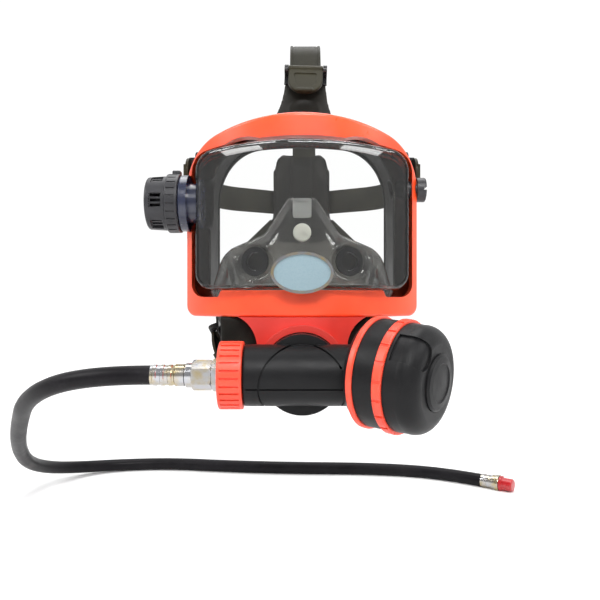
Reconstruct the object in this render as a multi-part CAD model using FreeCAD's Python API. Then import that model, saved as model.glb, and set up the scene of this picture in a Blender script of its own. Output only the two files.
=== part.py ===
import FreeCAD, Part
import math
import os

# Full-face diving mask with a side-mounted demand regulator and its supply hose.
# Millimetres. +X is the wearer's left, the mask looks along -Y, +Z is up.
# The origin is the centre of the face opening in the seal.

V = FreeCAD.Vector
X = V(1, 0, 0)
Y = V(0, 1, 0)
Z = V(0, 0, 1)
TALL = 200.0

# frame and lens
FRAME_HALF_W = 87.5
FRAME_BOTTOM = -72.5
FRAME_SIDE_TOP = 50.7
FRAME_APEX = 80.0
FRAME_SPLIT_Z = -14.0
WRAP_Y = 47.0
R_FRAME = 107.0
R_FRAME_BACK = 98.0
R_LENS_BACK = 95.0
R_SKIRT_BACK = 84.0
R_FACE = 72.0
SKIRT = 4.3
SKIRT_END_Y = 8.0
LENS_FRONT_R = 130.0
LENS_FRONT_Y = -67.0
LENS_WALL = 3.0
LENS_EDGE = 3.0
SEAL_END_Y = 34.0
SEAL_SPLIT_Z = -69.0
CUP_FRONT_Y = -45.0
CUP_WALL = 4.0
DRAIN_Y = -20.0
SCREW_Y = 2.5
SCREW_STEP = 8.0
NOTCH_X = 40.5
NOTCH_R = 30.0
NOTCH_TOP = 54.4

# inner mask over the nose and mouth, its valves and its window
INNER_R = 90.0
INNER_FRONT = -48.0
INNER_BACK = -15.0
INNER_WALL = 2.5
VENT_Z = -12.8
SEAT_X = 33.0
SEAT_Z = -33.0

# badge on the lens
BADGE_Z = -42.0
BADGE_A = 21.4
BADGE_B = 14.3
BADGE_RIM = 2.0

# openings in the mask's sides
VALVE_Y = -20.0
VALVE_Z = 12.0
PLUG_Y = -10.0
PLUG_Z = 24.0
R_VALVE_TUBE = 15.0
R_PLUG_SHANK = 6.5
KNOB_SLOTS = 6
KNOB_GRIPS = 24

# regulator barrel, along X, and its port, along Y
BARREL_Y = -85.0
BARREL_Z = -109.4
R_BARREL = 20.0
R_BARREL_BORE = 15.0
BARREL_LEFT = -37.7
R_HUB = 26.5
HUB_BACK_Y = -64.5
R_SPIGOT = 17.9
R_PORT_BORE = 18.0
R_PORT_TUBE = 22.0
BRACKET_BOTTOM = -93.0
SEAM = 0.5
SEAM_DEPTH = 1.2
SEAM_Z = -116.5
R_SEAM = 27.6

# regulator head, a round case on a slanted axis
HEAD_CENTRE = V(47.5, -94.0, -106.4)
HEAD_AXIS = V(0.812, -0.577, -0.090).normalize()
R_HEAD = 34.5
R_CHAMBER = 31.0
HEAD_BACK = -8.0
COVER_START = 21.5
COVER_FACE = 41.5
R_BUTTON = 17.5
LOCK_NOTCHES = 20
SCALLOP_DEPTH = 1.3
SCALLOP_HALF_W = 9.5
SCALLOP_START = 19.0
SCALLOP_ANGLE = 195.0
NOTCH_ANGLE = 62.0
GUIDE_S = 27.0
GUIDE_T = 2.5
R_GUIDE = 4.0
SHAFT_GAP = 0.05

# demand lever and poppet
PIN_X = 36.5
PIN_Y = -109.3
PIN_Z = -107.0
R_PIN = 1.5
R_STEM = 3.45
R_POPPET = 4.95

# inlet and hose
R_KNOB = 22.1
R_KNOB_BORE = 9.0
KNOB_LEFT = -53.7
KNOB_RIBS = 28
NIPPLE_R = 6.5
HOSE_R = 6.35
SLEEVE_END_X = -98.4
SLEEVE_LENGTH = 32.8
R_END_THREAD = 4.7
HOSE_ROUTE = [
    (-98.4, -85.0, -109.4),
    (-142.0, -85.0, -109.4),
    (-191.0, -59.0, -126.0),
    (-225.0, 6.0, -161.0),
    (-250.0, 63.0, -191.0),
    (-264.0, 114.0, -217.0),
    (-261.0, 160.0, -234.0),
    (-241.0, 197.0, -243.0),
    (-203.0, 219.0, -246.0),
    (-146.0, 225.0, -246.0),
    (-80.0, 213.0, -246.0),
    (-8.0, 206.0, -246.0),
    (62.0, 204.0, -246.0),
    (118.0, 195.0, -246.0),
    (159.0, 178.0, -246.0),
    (186.0, 157.0, -246.0),
]
ARC_SHARE = 0.45

# harness
STRAP_W = 24.0
STRAP_T = 2.0
STRAP_LIFT = 1.6
HEAD_BACK_Y = 84.0
R_HEAD_BACK = 84.0
PAD_T = 8.0

# buckles and the tabs that carry them
BUCKLE_HALF_W = 16.3
EAR_T = 3.0
PIVOT_Y = -6.6
R_BUCKLE_PIN = 1.25
LEVER_LENGTH = 26.5
EAR_HALF = 3.4
TAB_T = 3.0
TAB_NECK = 15.4
# name: buckle's place, strap direction, outward direction, tab's reach and root half-width
BUCKLES = {
    "top": (V(3.0, -4.0, 114.0), V(0.035, 0.51, 0.86), V(0, -0.86, 0.51), 58, 25),
    "temple_right": (V(-85.6, 35.0, 42.0), V(0.0, 1.0, 0.0), V(-1.0, 0.0, 0.0), 26, 17),
    "temple_left": (V(85.6, 35.0, 42.0), V(0.0, 1.0, 0.0), V(1.0, 0.0, 0.0), 26, 17),
    "lower_right": (V(-62.5, 25.0, -93.0), V(-0.13, 0.86, 0.50), V(-0.943, 0.050, -0.330), 42, 16),
    "lower_left": (V(62.5, 25.0, -93.0), V(0.13, 0.86, 0.50), V(0.943, 0.050, -0.330), 42, 16),
}


# ---------------------------------------------------------------- helpers

def cyl(r, start, end):
    """A cylinder of radius r from one point to another."""
    run = end - start
    return Part.makeCylinder(r, run.Length, start, run)


def cyl_x(r, x0, x1, y, z):
    return cyl(r, V(x0, y, z), V(x1, y, z))


def cyl_y(r, y0, y1, x, z):
    return cyl(r, V(x, y0, z), V(x, y1, z))


def cyl_z(r, z0, z1, x, y):
    return cyl(r, V(x, y, z0), V(x, y, z1))


def box(x0, x1, y0, y1, z0, z1):
    return Part.makeBox(x1 - x0, y1 - y0, z1 - z0, V(x0, y0, z0))


def corner(before, point, after, r):
    """Start, middle and end of the arc that rounds a path's corner."""
    if r == 0:
        return point, None, point
    back = (before - point).normalize()
    ahead = (after - point).normalize()
    half = back.getAngle(ahead) / 2
    bisector = (back + ahead).normalize()
    reach = r / math.tan(half)
    middle = point + bisector * (r / math.sin(half) - r)
    return point + back * reach, middle, point + ahead * reach


def rounded(points):
    """A closed wire in the XZ plane through (x, z, corner radius) points."""
    spots = [V(x, 0, z) for x, z, r in points]
    count = len(points)
    arcs = []
    for i in range(count):
        arcs.append(corner(spots[i - 1], spots[i], spots[(i + 1) % count], points[i][2]))
    edges = []
    for i in range(count):
        start, middle, end = arcs[i]
        if middle is not None:
            edges.append(Part.Arc(start, middle, end).toShape())
        following = arcs[(i + 1) % count][0]
        if end.distanceToPoint(following) > 1e-6:
            edges.append(Part.LineSegment(end, following).toShape())
    return Part.Wire(edges)


def slab(wire, y0, y1):
    """The XZ outline made solid from y0 to y1."""
    face = Part.Face(wire)
    face.translate(V(0, y0, 0))
    return face.extrude(V(0, y1 - y0, 0))


def mirrored(points):
    """A symmetric outline from its left half, listed from the bottom to the top."""
    right = [(-x, z, r) for x, z, r in reversed(points) if x != 0]
    return points + right


def shrunk(wire, distance):
    return wire.makeOffset2D(-distance) if distance else wire


def lathe(points):
    """A solid of revolution about Z from (radius, height) points."""
    spots = [V(r, 0, h) for r, h in points]
    return Part.Face(Part.makePolygon(spots + spots[:1])).revolve(V(0, 0, 0), Z, 360)


def aim(shape, origin, along):
    """Places a shape that was made along Z at an origin, along another axis."""
    turn = FreeCAD.Placement(origin, FreeCAD.Rotation(Z, along))
    shape.Placement = turn.multiply(shape.Placement)
    return shape


def rounded_edges(shape, radius, wanted):
    """Fillets the edges whose middle point passes the test."""
    picked = []
    for edge in shape.Edges:
        first, last = edge.ParameterRange
        if wanted(edge.valueAt((first + last) / 2), edge):
            picked.append(edge)
    return shape.makeFillet(radius, picked)


def helix_spring(mean_r, wire_r, height, turns):
    """A round-wire compression spring that stands on the origin, along Z."""
    path = Part.makeHelix(height / turns, height, mean_r)
    start = Part.Circle(V(mean_r, 0, 0), Y, wire_r).toShape()
    shell = Part.Wire(path.Edges).makePipeShell([Part.Wire(start)], True, True)
    return shell


def hexagon(flats, x0, x1, y, z):
    """A hexagonal prism along X with chamfered corners."""
    r = flats / math.cos(math.pi / 6) / 2
    spots = []
    for i in range(7):
        a = math.pi / 3 * i + math.pi / 6
        spots.append(V(x0, y + r * math.cos(a), z + r * math.sin(a)))
    prism = Part.Face(Part.makePolygon(spots)).extrude(V(x1 - x0, 0, 0))
    blunt = Part.makeCone(r - 0.9, r + 1.6, 2.5, V(x0, y, z), X)
    blunt = blunt.fuse(cyl_x(r + 1.6, x0 + 2.5, x1 - 2.5, y, z))
    blunt = blunt.fuse(Part.makeCone(r + 1.6, r - 0.9, 2.5, V(x1 - 2.5, y, z), X))
    return prism.common(blunt)


def wrap(r):
    """The upright cylinder that the frame, lens edge and seal are bent around."""
    return cyl_z(r, -TALL, TALL, 0, WRAP_Y)


# ---------------------------------------------------------------- outlines

def frame_outline(inset=0.0):
    wire = rounded(mirrored([
        (-FRAME_HALF_W, FRAME_BOTTOM, 8),
        (-FRAME_HALF_W, FRAME_SIDE_TOP, 38),
        (0, FRAME_APEX, 185),
    ]))
    return shrunk(wire, inset)


def window_outline():
    return rounded(mirrored([
        (-58.5, -53.6, 1.5),
        (-60.5, -58.3, 1.5),
        (-83.0, -58.3, 10),
        (-83.0, 47.5, 14),
        (0, 56.5, 500),
    ]))


def lens_outline(y, half_w, bottom, side_top, apex, inset):
    wire = rounded(mirrored([
        (-half_w, bottom, 12),
        (-half_w, side_top, 14),
        (0, apex, 470),
    ]))
    wire = shrunk(wire, inset)
    wire.translate(V(0, y, 0))
    return wire


def lens_bubble(inset):
    """The lens's outer shape, or its inside at a wall's depth."""
    base = lens_outline(8, 83.4, -55.5, 47.0, 57.0, inset)
    front = lens_outline(-72, 72.3, -51.9, 44.0, 53.0, inset)
    bubble = Part.makeLoft([base, front], True, True)
    r = LENS_FRONT_R - inset
    return bubble.common(cyl_z(r, -TALL, TALL, 0, LENS_FRONT_Y + LENS_FRONT_R))


def lens_outside():
    """The lens's outer shape, with the edge around its front rounded."""
    def on_front(spot, edge):
        reach = math.hypot(spot.x, spot.y - LENS_FRONT_Y - LENS_FRONT_R)
        return abs(reach - LENS_FRONT_R) < 0.05
    return rounded_edges(lens_bubble(0), LENS_EDGE, on_front)


# ---------------------------------------------------------------- mask

def frame_skirt():
    """The frame's rim, which reaches back around the edges of the lens and seal."""
    skirt = slab(frame_outline(), -90, 60).cut(slab(frame_outline(SKIRT), -90, 60))
    skirt = skirt.common(wrap(R_FRAME)).cut(wrap(R_SKIRT_BACK))
    return skirt.common(box(-TALL, TALL, -90, SKIRT_END_Y, -TALL, TALL))


def frame_ring():
    outer = slab(frame_outline(), -90, 60)
    plate = outer.common(wrap(R_FRAME).cut(wrap(R_FRAME_BACK)))
    plate = plate.common(box(-TALL, TALL, -90, SKIRT_END_Y, -TALL, TALL))
    ring = plate.fuse(frame_skirt()).cut(slab(window_outline(), -90, 60))
    for side in (-1, 1):
        ring = ring.cut(cyl_y(NOTCH_R, -90, -20, side * NOTCH_X, NOTCH_TOP - NOTCH_R))
    ring = ring.cut(cyl_x(21.2, -95, -70, VALVE_Y, VALVE_Z))
    ring = ring.cut(cyl_x(R_PLUG_SHANK, 70, 95, PLUG_Y, PLUG_Z))
    return ring.cut(frame_screws()).removeSplitter()


def frame_screw(side, z):
    """A countersunk screw that ties the two frame halves' splice."""
    tip = side * (FRAME_HALF_W - SKIRT)
    face = side * (FRAME_HALF_W - 0.2)
    shank = cyl(1.5, V(tip, SCREW_Y, z), V(face, SCREW_Y, z))
    head = cyl(2.8, V(side * (FRAME_HALF_W - 1.8), SCREW_Y, z), V(face, SCREW_Y, z))
    return shank.fuse(head).removeSplitter()


def frame_screws():
    """The four screws, two on each side, above and below the frame's split."""
    screws = []
    for side in (-1, 1):
        for step in (-SCREW_STEP, SCREW_STEP):
            screws.append(frame_screw(side, FRAME_SPLIT_Z + step))
    return Part.makeCompound(screws)


def outer_rim(spot):
    """True on the frame's outer edge, away from the window and side valve."""
    near_valve = math.hypot(spot.y - VALVE_Y, spot.z - VALVE_Z) < 22.5 and spot.x < 0
    in_window = abs(spot.x) < 83.6 and -58.6 < spot.z <= 56
    return not near_valve and not in_window


def frame_half(ring, keep_top):
    """One half of the frame, with its outer front edge rounded."""
    half = box(-TALL, TALL, -100, 100, FRAME_SPLIT_Z, TALL)
    piece = ring.common(half) if keep_top else ring.cut(half)

    def front_rim(spot, edge):
        reach = math.hypot(spot.x, spot.y - WRAP_Y)
        on_front = abs(reach - R_FRAME) < 0.02
        off_split = abs(spot.z - FRAME_SPLIT_Z) > 0.5
        return on_front and off_split and edge.Length > 12 and outer_rim(spot)
    return rounded_edges(piece, 2.2, front_rim)


def lens():
    flange = slab(frame_outline(SKIRT), -90, 60)
    flange = flange.common(wrap(R_FRAME_BACK).cut(wrap(R_LENS_BACK)))
    flange = flange.common(box(-TALL, TALL, -90, 20, -TALL, TALL))
    body = lens_outside().cut(wrap(R_LENS_BACK)).fuse(flange)
    body = body.cut(lens_bubble(LENS_WALL))
    body = body.cut(cyl_x(R_VALVE_TUBE, -95, -60, VALVE_Y, VALVE_Z))
    body = body.cut(cyl_x(R_PLUG_SHANK, 60, 95, PLUG_Y, PLUG_Z))
    return body.removeSplitter()


def face_opening():
    return rounded(mirrored([(-68.5, -66, 18), (-68.5, 53, 38), (0, 56, 500)]))


def chin_outline(inset):
    wire = rounded([
        (-59, -64, 3), (59, -64, 3), (57, -112, 16),
        (38, -130, 16), (-38, -130, 16), (-57, -112, 16),
    ])
    return shrunk(wire, inset)


def whole_seal():
    """The rubber seal in one piece, as it is moulded: face ring, chin cup and buckle tabs."""
    ring = slab(frame_outline(SKIRT + 0.1), -90, 60)
    ring = ring.common(wrap(R_LENS_BACK)).cut(wrap(R_FACE))
    ring = ring.common(box(-TALL, TALL, -90, SEAL_END_Y, -TALL, TALL))
    rim = slab(frame_outline(-3), -90, 60).common(wrap(R_SKIRT_BACK - 0.4)).cut(wrap(R_FACE))
    ring = ring.fuse(rim.common(box(-TALL, TALL, -90, 30, -60, TALL)))
    ring = ring.cut(slab(face_opening(), -90, 60))
    cup = slab(chin_outline(0), CUP_FRONT_Y, 6)
    cup = cup.cut(slab(chin_outline(CUP_WALL), CUP_FRONT_Y + CUP_WALL, 20))
    cup = cup.cut(box(-51, 51, CUP_FRONT_Y + CUP_WALL, 20, -80, -50))
    cup = cup.cut(wrap(TALL).cut(wrap(R_LENS_BACK)).common(box(-90, 90, -90, 60, -72.4, 0)))
    bracket_bed = wrap(R_FRAME + 2).cut(wrap(R_FRAME_BACK - 1.3))
    cup = cup.cut(bracket_bed.common(slab(shrunk(bracket_outline(), -0.4), -90, 0)))
    cup = cup.cut(cyl_y(R_PORT_TUBE, -60, CUP_FRONT_Y + 6, 0, BARREL_Z))
    cup = cup.cut(cyl_z(12, -140, -120, 0, DRAIN_Y)).cut(frame_skirt())
    seal = ring.fuse(cup)
    for tab in seal_tabs():
        seal = seal.fuse(tab)
    seal = seal.cut(cyl_x(18.6, -90, -60, VALVE_Y, VALVE_Z))
    seal = seal.cut(cyl_x(R_PLUG_SHANK + 0.5, 60, 90, PLUG_Y, PLUG_Z))
    return seal.removeSplitter()


def seal_parts():
    """The seal cut level just under the face ring, so that each part is a simple shape."""
    seal = whole_seal()
    above = box(-TALL, TALL, -TALL, TALL, SEAL_SPLIT_Z, TALL)
    return seal.common(above), seal.cut(above)


def seal_tabs():
    """The rubber tabs that carry the buckles, each a flat tapered plate."""
    tabs = []
    for name, (origin, along, outward, reach, root_w) in BUCKLES.items():
        waist = TAB_NECK + (root_w - TAB_NECK) * 0.2
        half = -reach / 2
        outline = rounded([
            (-root_w, -reach, 4), (root_w, -reach, 4), (waist, half, 100), (TAB_NECK, -6, 6),
            (14, 3, 3), (-14, 3, 3), (-TAB_NECK, -6, 6), (-waist, half, 100),
        ])
        tab = slab(outline, 0.0, TAB_T)
        tabs.append(stand(tab, name))
    return tabs


def stand(shape, name):
    """Moves a shape from a buckle's own frame to its place on the mask.

    In that frame X runs across the strap, Y points at the head and Z along the strap."""
    origin, along, outward, reach, root_w = BUCKLES[name]
    z = V(along).normalize()
    y = (outward * -1 + z * outward.dot(z)).normalize()
    x = y.cross(z)
    turn = FreeCAD.Matrix(x.x, y.x, z.x, origin.x,
                          x.y, y.y, z.y, origin.y,
                          x.z, y.z, z.z, origin.z,
                          0, 0, 0, 1)
    shape.Placement = FreeCAD.Placement(turn)
    return shape


def buckle_base(name):
    """The buckle's frame: a floor, two ears and the bar that the strap turns over."""
    half = BUCKLE_HALF_W
    base = box(-half, half, -1.2, 0, -11, 7)
    for side in (-1, 1):
        inner = min(side * half, side * (half - EAR_T))
        ear = box(inner, inner + EAR_T, -8.8, 0, -EAR_HALF, EAR_HALF)
        ear = rounded_edges(ear, 2.6, lambda p, e: p.y < -8.7 and abs(abs(p.z) - EAR_HALF) < 0.1)
        wing = box(inner, inner + EAR_T, -1.2, 0, -11, 7)
        base = base.fuse(ear).fuse(wing)
    base = base.cut(box(-half + EAR_T + 0.8, half - EAR_T - 0.8, -3, 1, 2.0, 4.6))
    base = base.cut(cyl_x(R_BUCKLE_PIN + SHAFT_GAP, -20, 20, PIVOT_Y, 0))
    return stand(base.removeSplitter(), name)


def buckle_lever(name):
    """The half-round lever that clamps the strap, with its pivot pin."""
    half = BUCKLE_HALF_W - EAR_T - 0.3
    foot = -LEVER_LENGTH
    outline = rounded([(-half, foot, half - 0.6), (half, foot, half - 0.6), (half, 0, 0), (-half, 0, 0)])
    plate = slab(outline, PIVOT_Y - 1.2, PIVOT_Y + 1.2)
    plate = rounded_edges(plate, 0.8, lambda p, e: p.y < PIVOT_Y - 1.1 and p.z < -1)
    plate = plate.fuse(cyl_x(2.3, -half, half, PIVOT_Y, 0))
    hollow = rounded([(-7, foot + 5, 6), (7, foot + 5, 6), (9, -6, 2), (-9, -6, 2)])
    plate = plate.cut(slab(hollow, PIVOT_Y - 2, PIVOT_Y - 0.6))
    lip = cyl_x(1.6, -6, 6, PIVOT_Y - 1.0, foot + 1.8)
    pin = cyl_x(R_BUCKLE_PIN, -BUCKLE_HALF_W, BUCKLE_HALF_W, PIVOT_Y, 0)
    return stand(plate.fuse(lip).fuse(pin).removeSplitter(), name)


def strap(route):
    """A flat strap along a planar route of (point, corner radius) pairs."""
    spots = [spot for spot, r in route]
    across = (spots[1] - spots[0]).cross(spots[-1] - spots[0]).normalize()
    edges = []
    at = spots[0]
    for i in range(1, len(route) - 1):
        start, middle, end = corner(spots[i - 1], spots[i], spots[i + 1], route[i][1])
        edges.append(Part.LineSegment(at, start).toShape())
        edges.append(Part.Arc(start, middle, end).toShape())
        at = end
    edges.append(Part.LineSegment(at, spots[-1]).toShape())
    path = Part.Wire(edges)
    path.translate(across * (-STRAP_W / 2))
    ribbon = path.extrude(across * STRAP_W)
    return ribbon.makeOffsetShape(-STRAP_T, 1e-4, fill=True)


def strap_start(name):
    """Where a strap lies in its buckle, under the lever, and the way it runs."""
    origin, along, outward, reach, root_w = BUCKLES[name]
    along = V(along).normalize()
    outward = V(outward).normalize()
    return origin + outward * STRAP_LIFT - along * 9, along


def top_strap():
    start, along = strap_start("top")
    along.x = 0
    return strap([
        (start, 0),
        (start + along * 43, 30),
        (V(start.x, 116, 156), 62),
        (V(start.x, HEAD_BACK_Y + R_HEAD_BACK + 2, 112), 34),
        (V(start.x, HEAD_BACK_Y + R_HEAD_BACK + 3, 80), 0),
    ])


def temple_strap(name, side):
    start, along = strap_start(name)
    start.x = side * abs(start.x)
    return strap([
        (start, 0),
        (V(side * 88.5, 66, start.z), 200),
        (V(side * 82, 138, start.z), 46),
        (V(side * 26, 172, start.z), 0),
    ])


def lower_strap(name, side):
    start, along = strap_start(name)
    return strap([
        (start, 0),
        (start + along * 108, 72),
        (V(side * 27, 171, 14), 0),
    ])


def head_pad():
    """The pad at the back of the head, where the straps meet."""
    outer = cyl_z(R_HEAD_BACK + PAD_T, -6, 98, 0, HEAD_BACK_Y)
    pad = outer.cut(cyl_z(R_HEAD_BACK, -10, 110, 0, HEAD_BACK_Y))
    outline = rounded([(-38, -6, 20), (38, -6, 20), (30, 98, 18), (-30, 98, 18)])
    return pad.common(slab(outline, HEAD_BACK_Y, HEAD_BACK_Y + 120))


def inner_outline(inset):
    return shrunk(rounded(mirrored([
        (-63, -62, 4),
        (-66.5, -50, 5),
        (-58, -25, 24),
        (-27, -14, 10),
        (-9.5, 12, 5),
    ])), inset)


def inner_mask():
    """The mask over the nose and mouth, a thin shell open to the face and the chin."""
    bend = INNER_FRONT + INNER_R
    outer = slab(inner_outline(0), INNER_FRONT - 2, INNER_BACK)
    outer = outer.common(cyl_z(INNER_R, -TALL, TALL, 0, bend))
    inner = slab(inner_outline(INNER_WALL), INNER_FRONT, INNER_BACK + 9)
    inner = inner.common(cyl_z(INNER_R - INNER_WALL, -TALL, TALL, 0, bend))
    shell = outer.cut(inner).cut(box(-58, 58, -80, 0, -80, -58))
    for side in (-1, 1):
        shell = shell.cut(at_seat(cyl_z(9, -6, 6, 0, 0), side))
    return shell.cut(cyl_y(5, -60, -30, 0, VENT_Z)).removeSplitter()


def at_seat(shape, side):
    """Stands a shape made along Z on the inner mask's wall, facing out."""
    lean = math.asin(SEAT_X / INNER_R)
    y = INNER_FRONT + INNER_R * (1 - math.cos(lean))
    out = V(side * math.sin(lean), -math.cos(lean), 0)
    return aim(shape, V(side * SEAT_X, y, SEAT_Z), out)


def inner_valve_seats():
    seats = []
    for side in (-1, 1):
        ring = lathe([(6.5, -3.2), (9, -3.2), (9, 0.6), (10.5, 0.6), (10.5, 2.2), (6.5, 2.2)])
        cross = box(-7, 7, -0.8, 0.8, -2.6, -1.2).fuse(box(-0.8, 0.8, -7, 7, -2.6, -1.2))
        seats.append(at_seat(ring.fuse(cross).removeSplitter(), side))
    return Part.makeCompound(seats)


def inner_valves():
    return Part.makeCompound([at_seat(cyl_z(6.2, -1.0, -0.2, 0, 0), side) for side in (-1, 1)])


def nose_window():
    """The clear channel block on the bridge of the inner mask."""
    outside = rounded([(-6.5, -2.5, 1.5), (6.5, -2.5, 1.5), (6.5, 11, 1.5), (-6.5, 11, 1.5)])
    inside = rounded([(-4.5, -4, 0), (4.5, -4, 0), (4.5, 9, 1), (-4.5, 9, 1)])
    return slab(outside, INNER_FRONT - 4, INNER_FRONT).cut(slab(inside, INNER_FRONT - 5, INNER_FRONT - 2))


def vent_disc():
    """The round diffuser below the bridge, with its stem in the inner mask."""
    disc = cyl_y(6.4, INNER_FRONT - 2.4, INNER_FRONT, 0, VENT_Z)
    disc = rounded_edges(disc, 0.8, lambda p, e: p.y < INNER_FRONT - 2.3)
    return disc.fuse(cyl_y(5, INNER_FRONT, INNER_FRONT + INNER_WALL, 0, VENT_Z)).removeSplitter()


def oval(a, b, y0, y1, z):
    wire = Part.Wire(Part.Ellipse(V(a, 0, z), V(0, 0, z + b), V(0, 0, z)).toShape())
    return slab(wire, y0, y1)


def lens_skin(outset):
    """A layer that stands this far off the lens's front."""
    centre = LENS_FRONT_Y + LENS_FRONT_R
    thick = cyl_z(LENS_FRONT_R + outset, -TALL, TALL, 0, centre)
    return thick.cut(cyl_z(LENS_FRONT_R, -TALL, TALL, 0, centre))


def badge():
    plate = oval(BADGE_A - BADGE_RIM, BADGE_B - BADGE_RIM, -90, -50, BADGE_Z)
    return plate.common(lens_skin(1.2))


def badge_rim():
    ring = oval(BADGE_A, BADGE_B, -90, -50, BADGE_Z)
    ring = ring.cut(oval(BADGE_A - BADGE_RIM, BADGE_B - BADGE_RIM, -90, -50, BADGE_Z))
    return ring.common(lens_skin(2.0))


# ---------------------------------------------------------------- side valve and plug

def side_valve_neck():
    """The fixed body of the ambient valve, held in the mask's side wall."""
    flange = cyl_x(21.0, -90.5, -84.2, VALVE_Y, VALVE_Z)
    flange = rounded_edges(flange, 1.5, lambda p, e: p.x < -90.4)
    tube = cyl_x(R_VALVE_TUBE, -90, -74, VALVE_Y, VALVE_Z)
    nut = cyl_x(18.2, -79, -74, VALVE_Y, VALVE_Z).common(lens_bubble(LENS_WALL))
    neck = flange.fuse(tube).fuse(nut).cut(cyl_x(12.5, -92, -70, VALVE_Y, VALVE_Z))
    for turn in (0, 60, 120):
        spoke = box(-77, -75, VALVE_Y - 13, VALVE_Y + 13, VALVE_Z - 1, VALVE_Z + 1)
        spoke.rotate(V(0, VALVE_Y, VALVE_Z), X, turn)
        neck = neck.fuse(spoke)
    return neck.fuse(cyl_x(2.4, -84, -75, VALVE_Y, VALVE_Z)).removeSplitter()


def side_valve_collar():
    """The stepped ring outside the neck, with the stop tab on top."""
    ring = cyl_x(22.0, -100, -90.5, VALVE_Y, VALVE_Z)
    ring = rounded_edges(ring, 1.0, lambda p, e: True)
    for i in range(KNOB_GRIPS):
        groove = box(-98.6, -92.4, VALVE_Y - 0.6, VALVE_Y + 0.6, VALVE_Z + 21.3, VALVE_Z + 24)
        groove.rotate(V(0, VALVE_Y, VALVE_Z), X, 360.0 / KNOB_GRIPS * (i + 0.5))
        ring = ring.cut(groove)
    ring = ring.cut(cyl_x(12.5, -102, -88, VALVE_Y, VALVE_Z))
    tab = box(-97, -91, VALVE_Y - 3, VALVE_Y + 3, VALVE_Z + 19, VALVE_Z + 24.6)
    tab = rounded_edges(tab, 1.0, lambda p, e: p.z > VALVE_Z + 24)
    return ring.fuse(tab).removeSplitter()


def side_valve_knob():
    """The turning cap, with windows that open the mask to the surrounding air."""
    cone = Part.makeCone(20.3, 19.4, 14.7, V(-100.3, VALVE_Y, VALVE_Z), X * -1)
    cone = rounded_edges(cone, 1.8, lambda p, e: p.x < -114.9)
    cap = cone.cut(cyl_x(17.0, -112.6, -100, VALVE_Y, VALVE_Z))
    for i in range(KNOB_SLOTS):
        angle = 360.0 / KNOB_SLOTS * i + 30
        pocket = box(-111.2, -102.4, VALVE_Y - 5.2, VALVE_Y + 5.2, VALVE_Z + 18.2, VALVE_Z + 24)
        rib_gaps = []
        for step in (-3.6, 0.0, 3.6):
            gap = box(-110.6, -103.0, VALVE_Y + step - 1.1, VALVE_Y + step + 1.1, VALVE_Z + 15, VALVE_Z + 19)
            rib_gaps.append(gap)
        for tool in [pocket] + rib_gaps:
            tool.rotate(V(0, VALVE_Y, VALVE_Z), X, angle)
            cap = cap.cut(tool)
    spindle = cyl_x(5.0, -113, -86.5, VALVE_Y, VALVE_Z)
    return cap.fuse(spindle).removeSplitter()


def side_valve_shutter():
    """The disc on the spindle whose holes line up with the open position."""
    disc = cyl_x(12.4, -86.5, -84.5, VALVE_Y, VALVE_Z)
    for turn in (30, 150, 270):
        hole = cyl_x(3.4, -88, -80, VALVE_Y, VALVE_Z + 7.8)
        hole.rotate(V(0, VALVE_Y, VALVE_Z), X, turn)
        disc = disc.cut(hole)
    return disc


def port_plug():
    """The screw plug in the spare port, with a coin slot."""
    head = cyl_x(9.3, FRAME_HALF_W, FRAME_HALF_W + 7, PLUG_Y, PLUG_Z)
    head = rounded_edges(head, 1.2, lambda p, e: p.x > FRAME_HALF_W + 6.9)
    slot = box(FRAME_HALF_W + 4.6, FRAME_HALF_W + 8, PLUG_Y - 10, PLUG_Y + 10, PLUG_Z - 1.2, PLUG_Z + 1.2)
    shank = cyl_x(R_PLUG_SHANK, 79, FRAME_HALF_W, PLUG_Y, PLUG_Z)
    return head.cut(slot).fuse(shank).removeSplitter()


# ---------------------------------------------------------------- port and bracket

def bracket_outline():
    """The bracket's front: wide at the frame, narrowing down to the regulator."""
    top_left = V(-45, 0, FRAME_BOTTOM)
    top_right = V(45, 0, FRAME_BOTTOM)
    low_left = V(-31.5, 0, BRACKET_BOTTOM)
    low_right = V(31.5, 0, BRACKET_BOTTOM)
    return Part.Wire([
        Part.LineSegment(top_left, top_right).toShape(),
        Part.Arc(top_right, V(35.2, 0, -81.0), low_right).toShape(),
        Part.LineSegment(low_right, low_left).toShape(),
        Part.Arc(low_left, V(-35.2, 0, -81.0), top_left).toShape(),
    ])


def chin_bracket():
    """The plate below the frame that locks the regulator's port."""
    plate = slab(bracket_outline(), -80, -40)
    plate = plate.common(wrap(R_FRAME + 1.5).cut(wrap(R_FRAME_BACK - 1)))
    ridge = cyl_y(31.5, -66.5, -58, 0, BARREL_Z).cut(cyl_y(27, -70, -50, 0, BARREL_Z))
    ridge = ridge.common(box(-40, 40, -70, -50, BRACKET_BOTTOM, FRAME_BOTTOM))
    plate = plate.fuse(ridge)
    plate = plate.cut(cyl_y(27, -90, -40, 0, BARREL_Z))
    return plate.removeSplitter()


def port_ring():
    """The tube that carries the regulator, with its flange on the chin cup."""
    tube = cyl_y(R_PORT_TUBE, HUB_BACK_Y + 0.2, CUP_FRONT_Y + 6, 0, BARREL_Z)
    flange = cyl_y(R_HUB, HUB_BACK_Y + 0.2, -56, 0, BARREL_Z)
    back_flange = cyl_y(R_HUB, CUP_FRONT_Y - 3, CUP_FRONT_Y, 0, BARREL_Z)
    ring = tube.fuse(flange).fuse(back_flange)
    return ring.cut(cyl_y(R_PORT_BORE, -70, -40, 0, BARREL_Z)).removeSplitter()


def port_o_ring():
    ring = Part.makeTorus(R_SPIGOT - 1.0, 1.05, V(0, -58, BARREL_Z), Y)
    return ring.common(cyl_y(R_PORT_BORE, -62, -54, 0, BARREL_Z))


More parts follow.
